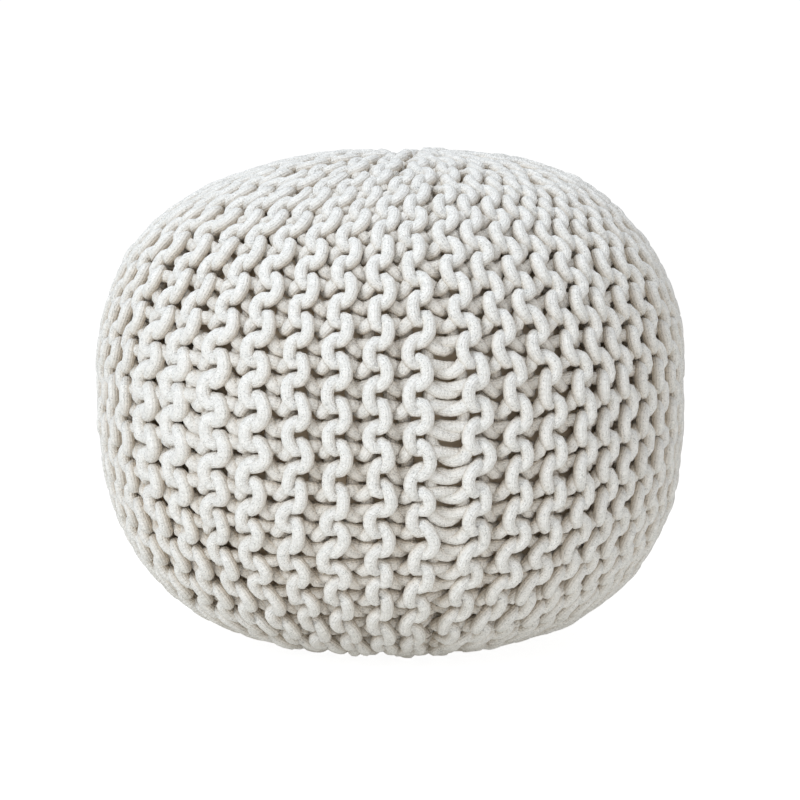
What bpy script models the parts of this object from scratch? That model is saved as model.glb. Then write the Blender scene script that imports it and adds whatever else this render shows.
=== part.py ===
"""Hand-knitted round pouf: one filled body, garter ribs running from pole to pole."""
import math

import bpy
import numpy as np

# Body, measured over the rib crests (metres).
CREST_RADIUS = 0.250
HEIGHT = 0.418
GIRTH_HEIGHT = 0.218      # the widest ring stands this far above the floor
CROWN_POWER = 2.50        # fullness of the outline above the widest ring
BELLY_POWER = 2.74        # and below it
FLOOR_SINK = 0.003        # how far the filled outline would reach under the floor
LUMP = 0.0015             # unevenness of the hand-filled body
CROWN_LEAN = 0.012        # the crown leans this far to +X
LEAN_START = 0.350        # above this height

# The eye at the top, round which the ribs are gathered.
EYE_RADIUS = 0.014
EYE_DEPTH = 0.010
EYE_REACH = 0.036         # the surface dips towards the eye inside this radius

# Knit.
STITCH_PITCH = 0.0332     # length of a stitch along its rib
BASE_STRETCH = 0.30       # stitches near the floor are this much longer,
STRETCH_HEIGHTS = (0.030, 0.100)    # from the first of these heights to the second
RIB_DEPTH = 0.0115        # from a crest down to a valley
STITCH_DEPTH = 0.0045     # dip of a crest between two stitches
CREST_OFFSET = 0.25       # top of a stitch, in widths of its rib from the middle
DIP_OFFSET = 0.10         # the same for the dip between two stitches
WANDER = math.radians(1.1)
PRESSED_HEIGHT = 0.034    # ribs are pressed flatter below this height
CROWN_RELIEF = 0.60       # share of their depth that the ribs keep at the eye
RELIEF_RADII = (0.02, 0.17)

# Angle between neighbouring ribs across the front, left to right, and the place of the first.
FRONT_STEPS = (9.5, 9.3, 10.1, 8.8, 8.4, 7.3, 7.4, 7.2, 10.7, 7.9, 7.3, 7.1, 6.1, 5.6, 6.8, 6.6)
FIRST_RIB = math.radians(-62.5)
RIB_COUNT = 48

# How much wider the ribs stand than at mid height, at four places across the front.
SPREAD_PLACES = ((-42.0, 15.0), (-6.0, 13.0), (10.8, 6.0), (26.0, 14.0))   # angle and reach, degrees
SPREADS = ((0.06, -0.30, 0.20, -0.15, -0.02),       # height above the floor, then one for each place
           (0.12, -0.20, 0.22, -0.15, 0.0),
           (0.19, 0.0, 0.0, 0.0, 0.0),
           (0.24, 0.0, 0.0, 0.0, 0.0),
           (0.30, -0.18, 0.06, -0.28, -0.10),
           (0.36, -0.30, 0.0, -0.35, -0.12))

# Some ribs run to the eye and the others stop short of it: the first stitch of each, from the eye.
FIRST_STITCHES = (0, 3, 2, 4, 1, 3)
TAPER = (-0.68, 0.92)     # a rib widens from nothing to whole over these stitches about its first
LEAST_WEIGHT = 0.22       # and ends where it is narrower than this share of a whole one
BASE_STITCHES = 2         # stitches between the edge of the base and the eye under it

PROFILE_STEPS = 2400


def clear_scene():
    for item in list(bpy.data.objects):
        bpy.data.objects.remove(item, do_unlink=True)


def ramp(value, low, high):
    share = min(1.0, max(0.0, (value - low) / (high - low)))
    return share * share * (3.0 - 2.0 * share)


def outline_point(turn):
    """Crest outline at a turn from +90 degrees (top pole) to -90 (bottom pole)."""
    upper = turn >= 0.0
    power = CROWN_POWER if upper else BELLY_POWER
    rise = HEIGHT - GIRTH_HEIGHT if upper else -(GIRTH_HEIGHT + FLOOR_SINK)
    radius = CREST_RADIUS * max(0.0, math.cos(turn)) ** (2.0 / power)
    height = GIRTH_HEIGHT + rise * abs(math.sin(turn)) ** (2.0 / power)
    return radius, max(0.0, height)


def make_rings():
    """(radius, height, normal) of a ring every half stitch, from the eye to the edge of the base."""
    turns = [math.pi * (0.5 - step / PROFILE_STEPS) for step in range(PROFILE_STEPS + 1)]
    line = [outline_point(turn) for turn in turns]
    start = next(i for i, point in enumerate(line) if point[0] >= EYE_RADIUS)
    end = next(i for i, point in enumerate(line) if i > start and point[1] <= 0.0)
    line = line[start:end + 1]
    lengths = [0.0]
    for before, after in zip(line, line[1:]):
        stretch = 1.0 + BASE_STRETCH * (1.0 - ramp(after[1], *STRETCH_HEIGHTS))
        lengths.append(lengths[-1] + math.dist(before, after) / stretch)
    ring_count = 2 * round(lengths[-1] / STITCH_PITCH)
    rings = []
    for ring in range(ring_count + 1):
        wanted = lengths[-1] * ring / ring_count
        here = min(range(len(line)), key=lambda i: abs(lengths[i] - wanted))
        before, after = line[max(0, here - 1)], line[min(len(line) - 1, here + 1)]
        along = math.dist(before, after)
        normal = ((before[1] - after[1]) / along, (after[0] - before[0]) / along)
        rings.append((line[here][0], line[here][1], normal))
    return rings


def rib_gaps():
    """Angle from the middle of each rib to the middle of the next, the first rib first."""
    front = [math.radians(step) for step in FRONT_STEPS]
    back = (2.0 * math.pi - sum(front)) / (RIB_COUNT - len(front))
    return front + [back] * (RIB_COUNT - len(front))


def rib_weight(rib, stitch):
    """Share of its full width that a rib keeps, this many stitches from the nearer eye."""
    first = FIRST_STITCHES[rib % len(FIRST_STITCHES)]
    return ramp(stitch - first, *TAPER) if first > 0 else 1.0


def rib_lines(stitch, last_stitch):
    """(left edge, middle, right edge, weight) of every rib at one ring, as angles."""
    near = min(stitch, last_stitch + BASE_STITCHES - stitch)
    weights = [rib_weight(rib, near) for rib in range(RIB_COUNT)]
    pairs = [weight + weights[(rib + 1) % RIB_COUNT] for rib, weight in enumerate(weights)]
    turn = sum(gap * pair for gap, pair in zip(rib_gaps(), pairs)) / (2.0 * math.pi)
    middle = FIRST_RIB + WANDER * math.sin(3.0 * math.pi * stitch / last_stitch)
    left = middle - rib_gaps()[-1] * weights[0] / turn
    lines = []
    for gap, pair, weight in zip(rib_gaps(), pairs, weights):
        right = middle + gap * weight / turn
        lines.append((left, middle, right, weight))
        middle += gap * pair / turn
        left = right
    return lines


def spread_out(angle, height):
    """The angle of a rib's line at this height, from its angle at mid height."""
    turn = (angle + math.pi) % (2.0 * math.pi) - math.pi
    heights, *columns = zip(*SPREADS)
    shift = 0.0
    for (middle, reach), column in zip(np.radians(SPREAD_PLACES), columns):
        shift += np.interp(height, heights, column) * reach * math.tanh((turn - middle) / reach)
    return angle + shift * (0.5 + 0.5 * math.cos(turn))


def lump(angle, height):
    """Slow unevenness of the body, outwards."""
    around = math.sin(3.0 * angle + 0.7) + 0.6 * math.sin(5.0 * angle - 14.0 * height)
    return LUMP * around * ramp(height, 0.0, 0.08)


def place(ring, angle, depth):
    """A point at an angle (0 faces -Y), sunk under the crest outline by depth."""
    radius, height, normal = ring
    angle = spread_out(angle, height)
    out = lump(angle, height) - depth
    radius += out * normal[0]
    height = max(0.0, height + out * normal[1])
    lean = CROWN_LEAN * ramp(height, LEAN_START, HEIGHT)
    return radius * math.sin(angle) + lean, -radius * math.cos(angle), height


def make_row(points, ring, number, last_number):
    """Adds one ring of points; returns the points each rib crosses there, left to right."""
    lines = rib_lines(number / 2.0, last_number / 2.0)
    depth_share = ramp(ring[1], 0.0, PRESSED_HEIGHT)
    sunk = 0.0
    if number < last_number / 2:
        depth_share *= CROWN_RELIEF + (1.0 - CROWN_RELIEF) * ramp(ring[0], *RELIEF_RADII)
        sunk = EYE_DEPTH * (1.0 - ramp(ring[0], 0.0, EYE_REACH))
    valley = {}
    for rib, (_, _, right, weight) in enumerate(lines):
        if weight > LEAST_WEIGHT:
            valley[rib] = len(points)
            points.append(place(ring, right, RIB_DEPTH * depth_share + sunk))
    row = []
    before = valley[max(valley)]
    for rib, (left, middle, right, weight) in enumerate(lines):
        crossed = [before]
        if rib in valley:
            worn = RIB_DEPTH * (1.0 - weight) ** 2
            for side in (-1, 1):
                stitch = (number % 2 == 0) == (side < 0)
                dip = worn if stitch else max(worn, STITCH_DEPTH)
                offset = side * (CREST_OFFSET if stitch else DIP_OFFSET)
                crossed.append(len(points))
                points.append(place(ring, middle + offset * (right - left), dip * depth_share + sunk))
            crossed.append(valley[rib])
            before = valley[rib]
        row.append(crossed)
    return row


def make_pouf_mesh():
    rings = make_rings()
    points = [(CROWN_LEAN, 0.0, HEIGHT - EYE_DEPTH)]
    rows = [[[0]] * RIB_COUNT]
    for number, ring in enumerate(rings):
        rows.append(make_row(points, ring, number, len(rings) - 1))
    rows.append([[len(points)]] * RIB_COUNT)
    points.append((0.0, 0.0, 0.0))
    return points, make_faces(rows)


def make_faces(rows):
    """Triangles between neighbouring rings; a rib that stops closes onto one point."""
    faces = []
    for number, (upper, lower) in enumerate(zip(rows, rows[1:])):
        for above, below in zip(upper, lower):
            if len(above) == 1 and len(below) == 1:
                continue
            if len(above) == 1:
                faces += [(above[0], left, right) for left, right in zip(below, below[1:])]
                continue
            if len(below) == 1:
                faces += [(below[0], right, left) for left, right in zip(above, above[1:])]
                continue
            for side in range(len(above) - 1):
                a, b, c, d = above[side], above[side + 1], below[side + 1], below[side]
                if (number + side) % 2 == 0:
                    faces += [(a, d, b), (b, d, c)]
                else:
                    faces += [(a, c, b), (a, d, c)]
    return faces


def centred(points):
    """Moves the body so its bounding box stands centred on the origin."""
    shift = [(min(p[axis] for p in points) + max(p[axis] for p in points)) / 2.0 for axis in (0, 1)]
    return [(x - shift[0], y - shift[1], z) for x, y, z in points]


def make_yarn_material():
    material = bpy.data.materials.new("ivory_yarn")
    material.use_nodes = True
    shader = material.node_tree.nodes["Principled BSDF"]
    shader.inputs["Base Color"].default_value = (0.76, 0.75, 0.71, 1.0)
    shader.inputs["Roughness"].default_value = 0.9
    shader.inputs["Metallic"].default_value = 0.0
    return material


def build():
    clear_scene()
    points, faces = make_pouf_mesh()
    mesh = bpy.data.meshes.new("knitted_pouf")
    mesh.from_pydata(centred(points), [], faces)
    mesh.validate()
    mesh.materials.append(make_yarn_material())
    mesh.shade_smooth()
    pouf = bpy.data.objects.new("knitted_pouf", mesh)
    bpy.context.scene.collection.objects.link(pouf)


build()
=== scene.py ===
"""Visual model of the hand-knitted pouf: every stitch of the garter-knit cover as real yarn."""

import math

import bmesh
import bpy
import numpy as np
from mathutils import Matrix, Vector


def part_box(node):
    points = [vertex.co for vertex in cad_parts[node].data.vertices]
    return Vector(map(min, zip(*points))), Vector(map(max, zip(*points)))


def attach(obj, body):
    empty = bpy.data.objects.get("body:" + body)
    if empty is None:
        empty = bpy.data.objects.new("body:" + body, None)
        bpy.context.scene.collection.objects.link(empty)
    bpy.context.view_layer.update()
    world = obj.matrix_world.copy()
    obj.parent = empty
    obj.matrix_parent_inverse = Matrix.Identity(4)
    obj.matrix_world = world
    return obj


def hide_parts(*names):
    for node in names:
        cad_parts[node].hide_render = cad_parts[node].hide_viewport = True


# Body, measured over the rib crests (metres).
CREST_RADIUS = 0.250
HEIGHT = 0.418
GIRTH_HEIGHT = 0.218
CROWN_POWER = 2.50
BELLY_POWER = 2.74
FLOOR_SINK = 0.003
LUMP = 0.0015
CROWN_LEAN = 0.012
LEAN_START = 0.350
EYE_RADIUS = 0.014
EYE_DEPTH = 0.010
EYE_REACH = 0.036

# Ribs: angles between neighbours across the front, and the first stitch of each, from either eye.
FRONT_STEPS = (9.5, 9.3, 10.1, 8.8, 8.4, 7.3, 7.4, 7.2, 10.7, 7.9, 7.3, 7.1, 6.1, 5.6, 6.8, 6.6)
FIRST_RIB = math.radians(-62.5)
RIB_COUNT = 48
WANDER = math.radians(1.1)
FIRST_STITCHES = (0, 3, 2, 4, 1, 3)
TAPER = (-0.68, 0.92)     # a rib widens from nothing to whole over these stitches about its first
LEAST_WEIGHT = 0.22       # and stands where it is wider than this share of a whole one
MARK_STEP = 0.05          # stitches between the places where the ribs' angles are worked out
GAP_SMOOTHING = 17        # a gap that changes where a rib ends is smoothed over this many places
BASE_STITCHES = 2         # stitches under the base, from its edge to the eye there
BASE_STRETCH = 0.30       # stitches near the floor are this much longer than the others
STRETCH_HEIGHTS = (0.030, 0.100)

# How much wider the ribs stand than at mid height, at four places across the front.
SPREAD_PLACES = ((-42.0, 15.0), (-6.0, 13.0), (10.8, 6.0), (26.0, 14.0))   # angle and reach, degrees
SPREADS = ((0.06, -0.30, 0.20, -0.15, -0.02),       # height above the floor, then one for each place
           (0.12, -0.20, 0.22, -0.15, 0.0),
           (0.19, 0.0, 0.0, 0.0, 0.0),
           (0.24, 0.0, 0.0, 0.0, 0.0),
           (0.30, -0.18, 0.06, -0.28, -0.10),
           (0.36, -0.30, 0.0, -0.35, -0.12))

# Yarn (metres).
STITCH_PITCH = 0.0332
YARN_RADIUS = 0.0051
YARN_STEP = 0.0046        # between the rings of the yarn's tube
YARN_SIDES = 10
SPLINE_STEPS = 5          # points of a yarn's curve between two control points
PLUMPNESS = 1.04          # between two hooks the yarn is this many times as thick as its radius says
PINCH = 0.14              # and it is squeezed by this share where two loops hook round each other
PINCH_REACH = 0.16
PLUMP_POWER = 0.7         # how fast the yarn thickens with a wide rib
BRAID_STRANDS = 7         # the rope is braided from fine strands
BRAID_PITCH = 0.0065
GROUPS = 5                # the yarn is split into this many pieces

# Knit. One cell is one stitch at its usual width, and the sizes from here to the turn at a rib's
# end are in cells unless they say metres.
CELL = 0.0325             # metres
CREST_LIFT = 0.39         # from the middle of the fabric to the top of a rib
CORE = 0.30               # half width of a rib between its valleys
NARROWING = 0.6           # powers of the gap: a close rib is narrower, a wide one wider
WIDENING = 1.7
FLATTENING = 1.6          # and less deep
CROWN_RELIEF = 0.66       # share of its depth that the knit keeps round the top eye
RELIEF_RADII = (0.10, 0.252)                # metres: from this share to the whole depth
RIB_INSET = 0.010         # metres from the crests in to where a rib's width is measured
LEAST_REACH = 0.008       # metres
SLANT = 0.18              # the valleys' legs lean this far down the rib
SLANT_RANGE = (0.12, 0.5)
UNEVENNESS = (0.055, 0.042, 0.03)           # hand-made shifts along the rib, across it and outwards

# Half of a loop: from the middle of its head, over and round the next row, to the leg's middle.
LOOP_QUARTER = ((0.0, 0.22, 0.24), (0.15, 0.20, 0.24), (0.285, 0.115, 0.20), (0.335, 0.0, 0.12),
                (0.295, -0.14, 0.024), (0.25, -0.25, 0.0))
HEAD_LEAN = 0.04          # a head's upper end leans right and its lower end left
SINKER_LEAN = 0.07        # the same for the arcs of the other row
LEAN_REACH = 0.24
UPPER_LEG_LIFT = 0.12     # the upper leg of a loop rides over the lower one in the valley
LOWER_LEG_LIFT = -0.05
LEG_CROSSING = -0.38      # where it does, across the rib
CROSSING_REACH = 0.26
SHADE_START_LIFT = 0.29          # painted shade: the yarn's colour browns from this lift inwards, by one in each cell
FLANK_SHADE = 1.35        # and painted shade round the yarn, growing from its outer side to its inner one
FLANK_SHADE_POWER = 1.2
# The turn from one row to the next at the end of a rib, beyond the last head.
TURN = ((-0.14, -0.03, 0.03), (-0.30, 0.05, -0.05), (-0.06, 0.17, -0.08))

# The round of yarn that draws each eye together (metres).
EYE_ROUND_RADIUS = 0.0095
EYE_ROUND_DEPTH = 0.009   # under the eye's rim
EYE_ROUND_POINTS = 24
EYE_SHADE = 0.35           # how deep its painted shade is
BODY_DEPTH = 0.0265       # from the crest outline in to the filled body
BODY_SEGMENTS = (96, 64)  # around and from pole to pole

PROFILE_STEPS = 4000
SEED = 11

# Colours of the yarn: stops of its cotton, of the flecks on it, and of the painted shade that browns it
# by depth.
COTTON = ((0.35, (0.775, 0.785, 0.785)), (0.62, (0.885, 0.895, 0.90)))
FLECKS = ((0.30, (0.66, 0.67, 0.67)), (0.44, (1.0, 1.0, 1.0)))
PAINTED_DEPTH_SHADE = ((0.10, (1.0, 1.0, 1.0)), (1.0, (0.79, 0.67, 0.53)))
SHEEN_TINT = (0.86, 0.93, 1.0, 1.0)
COTTON_GRAIN = 260.0      # noise cells to a metre
FLECK_GRAIN = 850.0
FIBRE_GRAIN = 1500.0
# painted shade: the brown of the knit's back in shade, on the filled body
BODY_SHADE_COLOR = (0.88, 0.74, 0.57, 1.0)

# Stage. The camera sees the floor and the world white; what lights the pouf is softer and warmer.
WHITE = (1.0, 1.0, 1.0, 1.0)
WORLD_GLOW = 1.05
WORLD_LIGHT = 0.50
WORLD_COLOR = (1.0, 0.98, 0.955, 1.0)
FLOOR_GLOW = 0.93
FLOOR_LIGHT = 0.27
FLOOR_SEEN_COLOR = (0.22, 0.22, 0.22, 1.0)  # reflects, next to its glow
FLOOR_LIT_COLOR = (0.62, 0.60, 0.56, 1.0)
FLOOR_LIGHT_COLOR = (1.0, 0.93, 0.81, 1.0)
FLOOR_SIZE = 60.0
LAMP_AIM = (0.0, 0.0, 0.22)
# Lamps: name, place, side of the square, power, colour.
LAMPS = (("key", (-1.7, -1.9, 1.6), 1.4, 38.8, (0.94, 0.975, 1.0)),
         ("top", (-0.1, 0.2, 2.4), 1.6, 15.8, (0.96, 0.985, 1.0)),
         ("fill", (0.7, -2.1, 0.15), 1.8, 13.8, (0.96, 0.98, 1.0)))

CAMERA_DISTANCE = 2.25
CAMERA_ELEVATION = math.radians(6.5)
CAMERA_LENS = 118.5
CAMERA_AIM = (0.0076, 0.0, 0.206)


def ramp(value, low, high):
    share = np.clip((value - low) / (high - low), 0.0, 1.0)
    return share * share * (3.0 - 2.0 * share)


# ---- the body's outline and the ribs' lines ----

def outline():
    """Crest outline from pole to pole: radius and height."""
    turn = np.linspace(math.pi / 2.0, -math.pi / 2.0, PROFILE_STEPS)
    power = np.where(turn >= 0.0, CROWN_POWER, BELLY_POWER)
    rise = np.where(turn >= 0.0, HEIGHT - GIRTH_HEIGHT, -(GIRTH_HEIGHT + FLOOR_SINK))
    radius = CREST_RADIUS * np.maximum(0.0, np.cos(turn)) ** (2.0 / power)
    height = np.maximum(0.0, GIRTH_HEIGHT + rise * np.abs(np.sin(turn)) ** (2.0 / power))
    return radius, height


class Body:
    """The crest outline by stitch count: stitch 0 starts at the top eye, `ends` at the bottom eye."""

    def __init__(self):
        radius, height = outline()
        stretch = 1.0 + BASE_STRETCH * (1.0 - ramp(height[1:], *STRETCH_HEIGHTS))
        steps = np.hypot(np.diff(radius), np.diff(height)) / stretch
        length = np.concatenate([[0.0], np.cumsum(steps)])
        apart = np.concatenate([[True], np.diff(length) > 1e-9])
        radius, height, length = radius[apart], height[apart], length[apart]
        start = int(np.argmax(radius >= EYE_RADIUS))
        edge = int(np.argmax((height <= 0.0) & (np.arange(len(height)) > start)))
        stop = len(radius) - 1 - int(np.argmax(radius[::-1] >= EYE_RADIUS))
        self.edge_stitch = round((length[edge] - length[start]) / STITCH_PITCH)
        self.ends = self.edge_stitch + BASE_STITCHES
        self.top = -length[start] / STITCH_PITCH
        self.bottom = self.ends + (length[-1] - length[stop]) / STITCH_PITCH
        marks = (length[0], length[start], length[edge], length[stop], length[-1])
        self.stitch = np.interp(length, marks, (self.top, 0.0, self.edge_stitch, self.ends, self.bottom))
        self.radius, self.height = radius, height
        slope_r, slope_h = np.gradient(radius, length), np.gradient(height, length)
        size = np.hypot(slope_r, slope_h)
        self.normal_r, self.normal_h = -slope_h / size, slope_r / size

    def at(self, stitch):
        tables = (self.radius, self.height, self.normal_r, self.normal_h)
        return [np.interp(stitch, self.stitch, table) for table in tables]


def rib_gaps():
    front = np.radians(FRONT_STEPS)
    back = (2.0 * math.pi - front.sum()) / (RIB_COUNT - len(front))
    return np.concatenate([front, np.full(RIB_COUNT - len(front), back)])


def rib_weights(body, stitch):
    """Share of its full width that each rib keeps at these stitches: ribs by places."""
    near = np.minimum(stitch, body.ends - stitch)
    firsts = np.array(FIRST_STITCHES * (RIB_COUNT // len(FIRST_STITCHES)))[:, None]
    return np.where(firsts == 0, 1.0, ramp(near - firsts, *TAPER))


class Ribs:
    """Angle of every rib, and of the gaps to its neighbours, sampled along the stitches."""

    def __init__(self, body):
        self.marks = np.arange(-0.6, body.ends + 0.6, MARK_STEP)
        weights = rib_weights(body, self.marks)
        pairs = weights + np.roll(weights, -1, axis=0)
        spans = rib_gaps()[:, None] * pairs
        spans *= 2.0 * math.pi / spans.sum(axis=0)
        start = FIRST_RIB + WANDER * np.sin(3.0 * math.pi * self.marks / body.edge_stitch)
        self.middle = start + np.cumsum(spans, axis=0) - spans
        standing = weights > LEAST_WEIGHT
        whole = 2.0 * math.pi
        self.left, self.right = np.zeros_like(self.middle), np.zeros_like(self.middle)
        for rib in range(RIB_COUNT):
            for sign, store in ((-1, self.left), (1, self.right)):
                gap = np.full(len(self.marks), np.nan)
                for hop in range(1, len(FIRST_STITCHES) + 1):
                    other = (rib + sign * hop) % RIB_COUNT
                    apart = (sign * (self.middle[other] - self.middle[rib])) % whole
                    take = np.isnan(gap) & standing[other]
                    gap[take] = apart[take]
                gap[np.isnan(gap)] = whole / RIB_COUNT
                store[rib] = smoothed(gap, GAP_SMOOTHING)

    def at(self, rib, stitch):
        tables = (self.middle, self.left, self.right)
        return [np.interp(stitch, self.marks, table[rib]) for table in tables]


def spread_out(angle, height):
    """The angle of a rib's line at this height, from its angle at mid height."""
    turn = (angle + math.pi) % (2.0 * math.pi) - math.pi
    levels = np.array(SPREADS)
    shift = np.zeros_like(turn)
    for (place_at, reach), amounts in zip(np.radians(SPREAD_PLACES), levels.T[1:]):
        amount = np.interp(height, levels[:, 0], amounts)
        shift += amount * reach * np.tanh((turn - place_at) / reach)
    return angle + shift * (0.5 + 0.5 * np.cos(turn))


def smoothed(values, width):
    kernel = np.hanning(width + 2)[1:-1]
    kernel /= kernel.sum()
    padded = np.concatenate([np.full(width, values[0]), values, np.full(width, values[-1])])
    return np.convolve(padded, kernel, mode="same")[width:-width]


# ---- the yarn's path ----

def bump(value, middle, reach):
    """One at the middle, falling smoothly to nothing at the reach."""
    return 0.5 + 0.5 * np.cos(math.pi * np.clip(np.abs(value - middle) / reach, 0.0, 1.0))


def leg(side):
    """Control points from a head (front) to the sinker (back) half a stitch below or above it.

    side is 1 for the lower leg and -1 for the upper one; lengths are in cells.
    """
    quarter = np.array(LOOP_QUARTER)
    rest = np.array([0.5, -0.5, 0.0]) - quarter[::-1][1:]
    points = np.concatenate([quarter, rest])
    across = points[:, 1].copy()
    lean = HEAD_LEAN * bump(across, 0.0, LEAN_REACH) + SINKER_LEAN * bump(across, -0.5, LEAN_REACH)
    lift = LOWER_LEG_LIFT if side > 0 else UPPER_LEG_LIFT
    points[:, 1] -= side * lean
    points[:, 2] += lift * bump(across, LEG_CROSSING, CROSSING_REACH)
    points[:, 0] *= side
    return points


def row_points(first, last):
    """Row that shows its heads: from the first head's upper side to the last head's lower side."""
    lower, upper = leg(1), leg(-1)[::-1]
    path = [upper[-4:-1] + [first + 0.5, 0.0, 0.0]]
    for number in range(first, last - 1):
        path += [lower[:-1] + [number + 0.5, 0.0, 0.0], upper[:-1] + [number + 1.5, 0.0, 0.0]]
    path.append(lower[:4] + [last - 0.5, 0.0, 0.0])
    return np.concatenate(path)


def other_row_points(first, last):
    """Row that shows its sinkers: the first row's stitches turned round, half a rib to the right."""
    turned = np.array([-1.0, 1.0, -1.0])
    lower, upper = leg(-1) * turned, (leg(1) * turned)[::-1]
    shift = [0.0, 0.5, 0.0]
    path = [upper[5:-1] + shift + [first + 0.5, 0.0, 0.0]]
    for number in range(first, last - 1):
        path += [lower[:-1] + shift + [number + 0.5, 0.0, 0.0],
                 upper[:-1] + shift + [number + 1.5, 0.0, 0.0]]
    path.append(lower[:6] + shift + [last - 0.5, 0.0, 0.0])
    return np.concatenate(path)


def rib_loop(first, last):
    """Closed yarn path of one rib: down the first row, up the second."""
    down = row_points(first, last)
    up = other_row_points(first, last)[::-1]
    turn = np.array(TURN)
    top = turn[::-1] + [first + 0.14, 0.0, 0.0]
    bottom = turn * [-1.0, 1.0, 1.0] + [last - 0.14, 0.0, 0.0]
    return np.concatenate([down, bottom, up, top])


def closed_spline(points, per_span):
    """Points of a closed Catmull-Rom curve."""
    before, after, beyond = np.roll(points, 1, 0), np.roll(points, -1, 0), np.roll(points, -2, 0)
    t = (np.arange(per_span) / per_span)[None, :, None]
    p0, p1, p2, p3 = (p[:, None, :] for p in (before, points, after, beyond))
    curve = 0.5 * (2 * p1 + (p2 - p0) * t + (2 * p0 - 5 * p1 + 4 * p2 - p3) * t ** 2
                   + (3 * p1 - p0 - 3 * p2 + p3) * t ** 3)
    return curve.reshape(-1, 3)


def even_steps(points, step):
    """The closed line through the points, again with even steps, and its length."""
    ring = np.concatenate([points, points[:1]])
    length = np.concatenate([[0.0], np.cumsum(np.linalg.norm(np.diff(ring[:, :3], axis=0), axis=1))])
    count = int(round(length[-1] / step))
    marks = np.arange(count) * length[-1] / count
    return np.stack([np.interp(marks, length, column) for column in ring.T], axis=1), length[-1]


class Unevenness:
    """Smooth hand-made shifts of the fabric, so that neighbouring loops move together."""

    def __init__(self, random, stitches):
        self.grid = random.normal(0.0, 1.0, (2 * RIB_COUNT, 2 * (stitches + 4), 3))

    def at(self, rib, stitch, across):
        x, y = 2.0 * (rib + across), 2.0 * (stitch + 1.5)
        x0, y0 = np.floor(x).astype(int), np.clip(np.floor(y).astype(int), 0, self.grid.shape[1] - 2)
        fx, fy = ramp(x - x0, 0.0, 1.0)[:, None], ramp(y - y0, 0.0, 1.0)[:, None]
        a, b = x0 % (2 * RIB_COUNT), (x0 + 1) % (2 * RIB_COUNT)
        low = self.grid[a, y0] * (1 - fx) + self.grid[b, y0] * fx
        high = self.grid[a, y0 + 1] * (1 - fx) + self.grid[b, y0 + 1] * fx
        return low * (1 - fy) + high * fy


def lump(angle, height):
    around = np.sin(3.0 * angle + 0.7) + 0.6 * np.sin(5.0 * angle - 14.0 * height)
    return LUMP * around * ramp(height, 0.0, 0.08)


def stretched(across, gap_cells, core):
    """Cells from the rib's middle: the core is widened on its own, and the valley takes up the rest."""
    valley = (gap_cells - 2.0 * CORE * core) / (1.0 - 2.0 * CORE)
    size = np.abs(across)
    inner = np.minimum(size, CORE) * core
    middle = np.clip(size - CORE, 0.0, 1.0 - 2.0 * CORE) * valley
    outer = np.maximum(0.0, size - (1.0 - CORE)) * core
    return np.sign(across) * (inner + middle + outer)


def crown_relief(radius, upper):
    """Share of its depth that the knit keeps where it is drawn together round the top eye."""
    return np.where(upper, CROWN_RELIEF + (1.0 - CROWN_RELIEF) * ramp(radius, *RELIEF_RADII), 1.0)


def place(body, ribs, rib, cells, uneven):
    """Turns fabric points (stitch, across, lift) of one rib into x, y, z, thickness and the depth of its
    painted shade.
    """
    stitch, across, lift = cells[:, 0], cells[:, 1], cells[:, 2]
    size = np.abs(across)
    hooked = np.maximum(bump(size, 0.0, PINCH_REACH), bump(size, 0.5, PINCH_REACH))
    shift = uneven.at(rib, stitch, across) * UNEVENNESS
    slant = SLANT * ramp(0.5 - np.abs(size - 0.5), *SLANT_RANGE)
    stitch, across, lift = stitch + slant + shift[:, 0], across + shift[:, 1], lift + shift[:, 2]
    radius, height, normal_r, normal_h = body.at(stitch)
    line, left, right = ribs.at(rib, stitch)
    middle = spread_out(line, height)
    left = middle - spread_out(line - left, height)
    right = spread_out(line + right, height) - middle
    reach = np.maximum(radius - RIB_INSET, LEAST_REACH)
    gap = np.where(across < 0.0, left, right) * reach / CELL
    least = np.minimum(left, right) * reach / CELL
    core = np.where(least < 1.0, least ** NARROWING, least ** WIDENING)
    thickness = YARN_RADIUS * (PLUMPNESS - PINCH * hooked) * np.maximum(1.0, core) ** PLUMP_POWER
    inward = (CREST_LIFT - lift) * np.minimum(1.0, gap ** -FLATTENING)
    # how far in the yarn lies, which sets how deep its painted shade is
    depth = inward - CREST_LIFT + SHADE_START_LIFT
    upper = stitch < body.edge_stitch / 2
    angle = middle + stretched(across, gap, core) * CELL / reach
    drop = EYE_DEPTH * (1.0 - ramp(radius, 0.0, EYE_REACH)) * upper
    out = lump(angle, height) - inward * crown_relief(radius, upper) * CELL
    r = radius + out * normal_r
    z = np.maximum(height + out * normal_h - drop, YARN_RADIUS * 1.05)
    x = r * np.sin(angle) + CROWN_LEAN * ramp(z, LEAN_START, HEIGHT)
    return np.stack([x, -r * np.cos(angle), z, thickness, depth], axis=1)


def eye_round(lean, height):
    """Closed, slightly uneven line of the yarn that draws an eye together."""
    turn = np.arange(EYE_ROUND_POINTS) * 2.0 * math.pi / EYE_ROUND_POINTS
    r = EYE_ROUND_RADIUS * (1.0 + 0.07 * np.cos(2.0 * turn + 300.0 * EYE_ROUND_RADIUS))
    z = height + 0.0006 * np.sin(3.0 * turn)
    # the round of the eye gets one even painted shade
    thickness, eye_shade = np.full_like(turn, YARN_RADIUS), np.full_like(turn, EYE_SHADE)
    return np.stack([lean + r * np.sin(turn), -r * np.cos(turn), z, thickness, eye_shade], axis=1)


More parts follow.
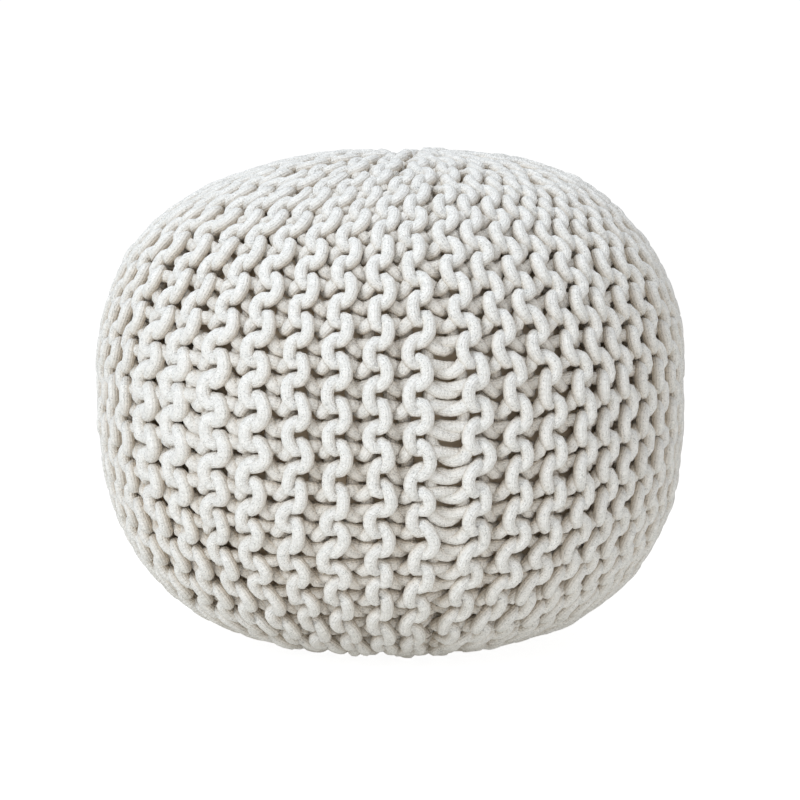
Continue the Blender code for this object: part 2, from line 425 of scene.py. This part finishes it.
class Strands:
    """Closed tubes of yarn, gathered into one mesh."""

    def __init__(self):
        self.verts, self.faces, self.uvs, self.shade_depths = [], [], [], []
        self.count = 0

    def add(self, line):
        """Adds a tube along a closed line of x, y, z, thickness and the depth of its painted shade."""
        line, length = even_steps(line, YARN_STEP)
        count = len(line)
        thickness, depth = line[:, 3], line[:, 4]
        line = line[:, :3]
        tangent = np.roll(line, -1, 0) - np.roll(line, 1, 0)
        tangent /= np.linalg.norm(tangent, axis=1)[:, None]
        outward = (line - [0.0, 0.0, GIRTH_HEIGHT]) * [1.0, 1.0, 1.25]
        side = np.cross(tangent, outward)
        side /= np.linalg.norm(side, axis=1)[:, None]
        up = np.cross(side, tangent)
        turns = np.arange(YARN_SIDES) * 2.0 * math.pi / YARN_SIDES
        ring = np.cos(turns)[None, :, None] * side[:, None] + np.sin(turns)[None, :, None] * up[:, None]
        self.verts.append((line[:, None] + thickness[:, None, None] * ring).reshape(-1, 3))
        # painted shade, deeper on the yarn's inner side, added to its depth
        flank_shade = FLANK_SHADE * (0.5 - 0.5 * np.sin(turns)) ** FLANK_SHADE_POWER
        self.shade_depths.append((depth[:, None] + flank_shade).ravel())
        along, around = np.meshgrid(np.arange(count), np.arange(YARN_SIDES), indexing="ij")
        here, ahead = along * YARN_SIDES + self.count, (along + 1) % count * YARN_SIDES + self.count
        beside = (around + 1) % YARN_SIDES
        faces = np.stack([here + around, ahead + around, ahead + beside, here + beside], axis=-1)
        self.faces.append(faces.reshape(-1, 4))
        low, high = along * length / count, (along + 1) * length / count
        near, far = around / YARN_SIDES, (around + 1) / YARN_SIDES
        corners = ((low, near), (high, near), (high, far), (low, far))
        uvs = np.stack([np.stack(corner, -1) for corner in corners], axis=2)
        self.uvs.append(uvs.reshape(-1, 2))
        self.count += count * YARN_SIDES

    def piece(self, name, material):
        verts, faces = np.concatenate(self.verts), np.concatenate(self.faces)
        mesh = bpy.data.meshes.new(name)
        mesh.vertices.add(len(verts))
        mesh.vertices.foreach_set("co", verts.astype(np.float32).ravel())
        mesh.loops.add(faces.size)
        mesh.loops.foreach_set("vertex_index", faces.astype(np.int32).ravel())
        mesh.polygons.add(len(faces))
        mesh.polygons.foreach_set("loop_start", np.arange(0, faces.size, 4, dtype=np.int32))
        uvs = np.concatenate(self.uvs).astype(np.float32)
        mesh.uv_layers.new(name="yarn").data.foreach_set("uv", uvs.ravel())
        # the depth attribute carries the yarn's painted shade to its material
        shade_depths = np.clip(np.concatenate(self.shade_depths), 0.0, 1.0).astype(np.float32)
        mesh.attributes.new("depth", "FLOAT", "POINT").data.foreach_set("value", shade_depths)
        mesh.update(calc_edges=True)
        mesh.validate()
        return mesh_piece(mesh, material)


def mesh_piece(mesh, material):
    mesh.shade_smooth()
    mesh.materials.append(material)
    piece = bpy.data.objects.new(mesh.name, mesh)
    bpy.context.scene.collection.objects.link(piece)
    return piece


def make_knit(body, material):
    ribs = Ribs(body)
    uneven = Unevenness(np.random.default_rng(SEED), body.ends)
    pieces = []
    for group in range(GROUPS):
        strands = Strands()
        for rib in range(RIB_COUNT * group // GROUPS, RIB_COUNT * (group + 1) // GROUPS):
            first = FIRST_STITCHES[rib % len(FIRST_STITCHES)]
            cells = closed_spline(rib_loop(first, body.ends - first), SPLINE_STEPS)
            strands.add(place(body, ribs, rib, cells, uneven))
        if group == 0:
            strands.add(eye_round(CROWN_LEAN, HEIGHT - EYE_DEPTH - EYE_ROUND_DEPTH))
            strands.add(eye_round(0.0, EYE_ROUND_DEPTH + YARN_RADIUS))
        pieces.append(strands.piece(f"knit_{group + 1}", material))
    return pieces


def make_filled_body(body, material):
    """The filled body right behind the stitches, which shows only through their gaps; its brown is
    painted shade of the knit's back.
    """
    mesh = bpy.data.meshes.new("filled_body")
    ball = bmesh.new()
    around, along = BODY_SEGMENTS
    bmesh.ops.create_uvsphere(ball, u_segments=around, v_segments=along, radius=1.0)
    ball.to_mesh(mesh)
    ball.free()
    points = np.array([vertex.co for vertex in mesh.vertices])
    share = np.arccos(np.clip(points[:, 2], -1.0, 1.0)) / math.pi
    stitch = body.top + share * (body.bottom - body.top)
    radius, height, normal_r, normal_h = body.at(stitch)
    upper = stitch < body.edge_stitch / 2
    drop = EYE_DEPTH * (1.0 - ramp(radius, 0.0, EYE_REACH)) * upper
    depth = BODY_DEPTH * (0.4 + 0.6 * crown_relief(radius, upper))
    r = np.maximum(radius - depth * normal_r, 0.0)
    flat = np.hypot(points[:, 0], points[:, 1]) + 1e-9
    placed = np.stack([points[:, 0] / flat * r, points[:, 1] / flat * r,
                       height - depth * normal_h - drop], axis=1)
    mesh.vertices.foreach_set("co", placed.astype(np.float32).ravel())
    mesh.update()
    return mesh_piece(mesh, material)


def centre_on_frame(pieces):
    """Moves the pieces together until their box stands centred in the frame's box."""
    low, high = (Vector(corner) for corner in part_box("knitted_pouf"))
    points = []
    for piece in pieces:
        flat = np.empty(3 * len(piece.data.vertices), dtype=np.float32)
        piece.data.vertices.foreach_get("co", flat)
        points.append(flat.reshape(-1, 3))
    points = np.concatenate(points)
    middle = Vector(((points.min(axis=0) + points.max(axis=0)) / 2.0).tolist())
    shift = (low + high) / 2.0 - middle
    shift.z = 0.0
    for piece in pieces:
        piece.data.transform(Matrix.Translation(shift))


# ---- materials ----

def node_set(name):
    material = bpy.data.materials.new(name)
    material.use_nodes = True
    tree = material.node_tree
    return material, tree.nodes, tree.links, tree.nodes["Principled BSDF"]


def combine(nodes, links, operation, first, second):
    """Output of a Math node; each input is a socket or a number."""
    node = nodes.new("ShaderNodeMath")
    node.operation = operation
    for socket, value in zip(node.inputs, (first, second)):
        if isinstance(value, (int, float)):
            socket.default_value = value
        else:
            links.new(value, socket)
    return node.outputs["Value"]


def braid_height(nodes, links):
    """Crossing strands round the rope, from the yarn's UVs: metres along, turns around."""
    uv = nodes.new("ShaderNodeUVMap")
    uv.uv_map = "yarn"
    split = nodes.new("ShaderNodeSeparateXYZ")
    links.new(uv.outputs["UV"], split.inputs["Vector"])
    turn = combine(nodes, links, "MULTIPLY", split.outputs["Y"], 2.0 * math.pi * BRAID_STRANDS)
    along = combine(nodes, links, "MULTIPLY", split.outputs["X"], 2.0 * math.pi / BRAID_PITCH)
    right = combine(nodes, links, "SINE", combine(nodes, links, "ADD", turn, along), 0.0)
    left = combine(nodes, links, "SINE", combine(nodes, links, "SUBTRACT", turn, along), 0.0)
    return combine(nodes, links, "MULTIPLY", right, left)


def noise(nodes, links, vector, scale, detail):
    node = nodes.new("ShaderNodeTexNoise")
    node.inputs["Scale"].default_value = scale
    node.inputs["Detail"].default_value = detail
    links.new(vector, node.inputs["Vector"])
    return node.outputs["Fac"]


def graded(nodes, links, value, stops):
    """Colour ramp over a value: stops are (position, colour)."""
    node = nodes.new("ShaderNodeValToRGB")
    for element, (position, color) in zip(node.color_ramp.elements, stops):
        element.position = position
        element.color = (*color, 1.0)
    links.new(value, node.inputs["Fac"])
    return node.outputs["Color"]


def multiplied(nodes, links, first, second):
    node = nodes.new("ShaderNodeMix")
    node.data_type = "RGBA"
    node.blend_type = "MULTIPLY"
    node.inputs["Factor"].default_value = 1.0
    links.new(first, node.inputs["A"])
    links.new(second, node.inputs["B"])
    return node.outputs["Result"]


def yarn_material():
    material, nodes, links, shader = node_set("ivory_rope")
    shader.inputs["Roughness"].default_value = 0.95
    shader.inputs["Specular IOR Level"].default_value = 0.2
    shader.inputs["Sheen Weight"].default_value = 0.3
    shader.inputs["Sheen Roughness"].default_value = 0.6
    shader.inputs["Sheen Tint"].default_value = SHEEN_TINT
    where = nodes.new("ShaderNodeTexCoord").outputs["Object"]
    # the depth attribute carries the yarn's painted shade
    depth = nodes.new("ShaderNodeAttribute")
    depth.attribute_name = "depth"
    fibre = noise(nodes, links, where, FIBRE_GRAIN, 2.0)
    cotton = graded(nodes, links, noise(nodes, links, where, COTTON_GRAIN, 3.0), COTTON)
    flecks = graded(nodes, links, noise(nodes, links, where, FLECK_GRAIN, 1.5), FLECKS)
    # painted shade: the yarn's colour browns with its depth
    painted_shade = graded(nodes, links, depth.outputs["Fac"], PAINTED_DEPTH_SHADE)
    color = multiplied(nodes, links, multiplied(nodes, links, cotton, flecks), painted_shade)
    links.new(color, shader.inputs["Base Color"])
    height = combine(nodes, links, "ADD", braid_height(nodes, links),
                     combine(nodes, links, "MULTIPLY", fibre, 1.5))
    bump_node = nodes.new("ShaderNodeBump")
    bump_node.inputs["Strength"].default_value = 0.8
    bump_node.inputs["Distance"].default_value = 0.0004
    links.new(height, bump_node.inputs["Height"])
    links.new(bump_node.outputs["Normal"], shader.inputs["Normal"])
    return material


def body_material():
    material, nodes, links, shader = node_set("shaded_knit_back")
    shader.inputs["Roughness"].default_value = 1.0
    # painted shade: the knit's back coloured brown as if in shade
    shader.inputs["Base Color"].default_value = BODY_SHADE_COLOR
    return material


# ---- stage ----

def camera_only(nodes, links, seen, lit):
    """A socket that is `seen` for the camera and `lit` for the light that reaches the object."""
    path = nodes.new("ShaderNodeLightPath")
    mix = nodes.new("ShaderNodeMixShader")
    links.new(path.outputs["Is Camera Ray"], mix.inputs["Fac"])
    links.new(lit, mix.inputs[1])
    links.new(seen, mix.inputs[2])
    return mix.outputs["Shader"]


def make_floor():
    bpy.ops.mesh.primitive_plane_add(size=FLOOR_SIZE, location=(0.0, 0.0, 0.0))
    floor = bpy.context.object
    floor.name = "floor"
    material, nodes, links, shader = node_set("white_floor")
    shader.inputs["Base Color"].default_value = FLOOR_SEEN_COLOR
    shader.inputs["Roughness"].default_value = 1.0
    shader.inputs["Specular IOR Level"].default_value = 0.0
    shader.inputs["Emission Color"].default_value = WHITE
    shader.inputs["Emission Strength"].default_value = FLOOR_GLOW
    lit = nodes.new("ShaderNodeBsdfPrincipled")
    lit.inputs["Base Color"].default_value = FLOOR_LIT_COLOR
    lit.inputs["Roughness"].default_value = 1.0
    lit.inputs["Emission Color"].default_value = FLOOR_LIGHT_COLOR
    lit.inputs["Emission Strength"].default_value = FLOOR_LIGHT
    both = camera_only(nodes, links, shader.outputs["BSDF"], lit.outputs["BSDF"])
    links.new(both, nodes["Material Output"].inputs["Surface"])
    floor.data.materials.append(material)


def make_studio():
    world = bpy.data.worlds.new("studio")
    world.use_nodes = True
    nodes, links = world.node_tree.nodes, world.node_tree.links
    seen, lit = nodes["Background"], nodes.new("ShaderNodeBackground")
    seen.inputs["Color"].default_value = WHITE
    seen.inputs["Strength"].default_value = WORLD_GLOW
    lit.inputs["Color"].default_value = WORLD_COLOR
    lit.inputs["Strength"].default_value = WORLD_LIGHT
    both = camera_only(nodes, links, seen.outputs["Background"], lit.outputs["Background"])
    links.new(both, nodes["World Output"].inputs["Surface"])
    bpy.context.scene.world = world
    for name, place_at, size, energy, color in LAMPS:
        light = bpy.data.lights.new(name, "AREA")
        light.energy, light.size, light.color = energy, size, color
        lamp = bpy.data.objects.new(name, light)
        lamp.location = place_at
        aim = Vector(LAMP_AIM) - lamp.location
        lamp.rotation_euler = aim.to_track_quat("-Z", "Y").to_euler()
        bpy.context.scene.collection.objects.link(lamp)


def make_camera():
    data = bpy.data.cameras.new("camera")
    data.lens = CAMERA_LENS
    data.sensor_width = 36.0
    camera = bpy.data.objects.new("camera", data)
    back = Vector((0.0, -math.cos(CAMERA_ELEVATION), math.sin(CAMERA_ELEVATION)))
    camera.location = Vector(CAMERA_AIM) + back * CAMERA_DISTANCE
    camera.rotation_euler = (-back).to_track_quat("-Z", "Y").to_euler()
    bpy.context.scene.collection.objects.link(camera)
    bpy.context.scene.camera = camera
    bpy.context.scene.view_settings.view_transform = "Standard"


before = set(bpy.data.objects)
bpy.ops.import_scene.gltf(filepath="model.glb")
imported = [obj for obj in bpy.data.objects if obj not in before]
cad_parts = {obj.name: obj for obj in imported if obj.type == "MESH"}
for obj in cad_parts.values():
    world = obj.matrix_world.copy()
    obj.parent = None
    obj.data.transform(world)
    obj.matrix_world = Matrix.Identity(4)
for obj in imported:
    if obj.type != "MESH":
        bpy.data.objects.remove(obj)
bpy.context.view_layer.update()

body = Body()
filled = make_filled_body(body, body_material())
pieces = make_knit(body, yarn_material()) + [filled]
centre_on_frame(pieces)
for piece in pieces:
    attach(piece, "root")
    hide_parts("knitted_pouf")
make_floor()
make_studio()
make_camera()
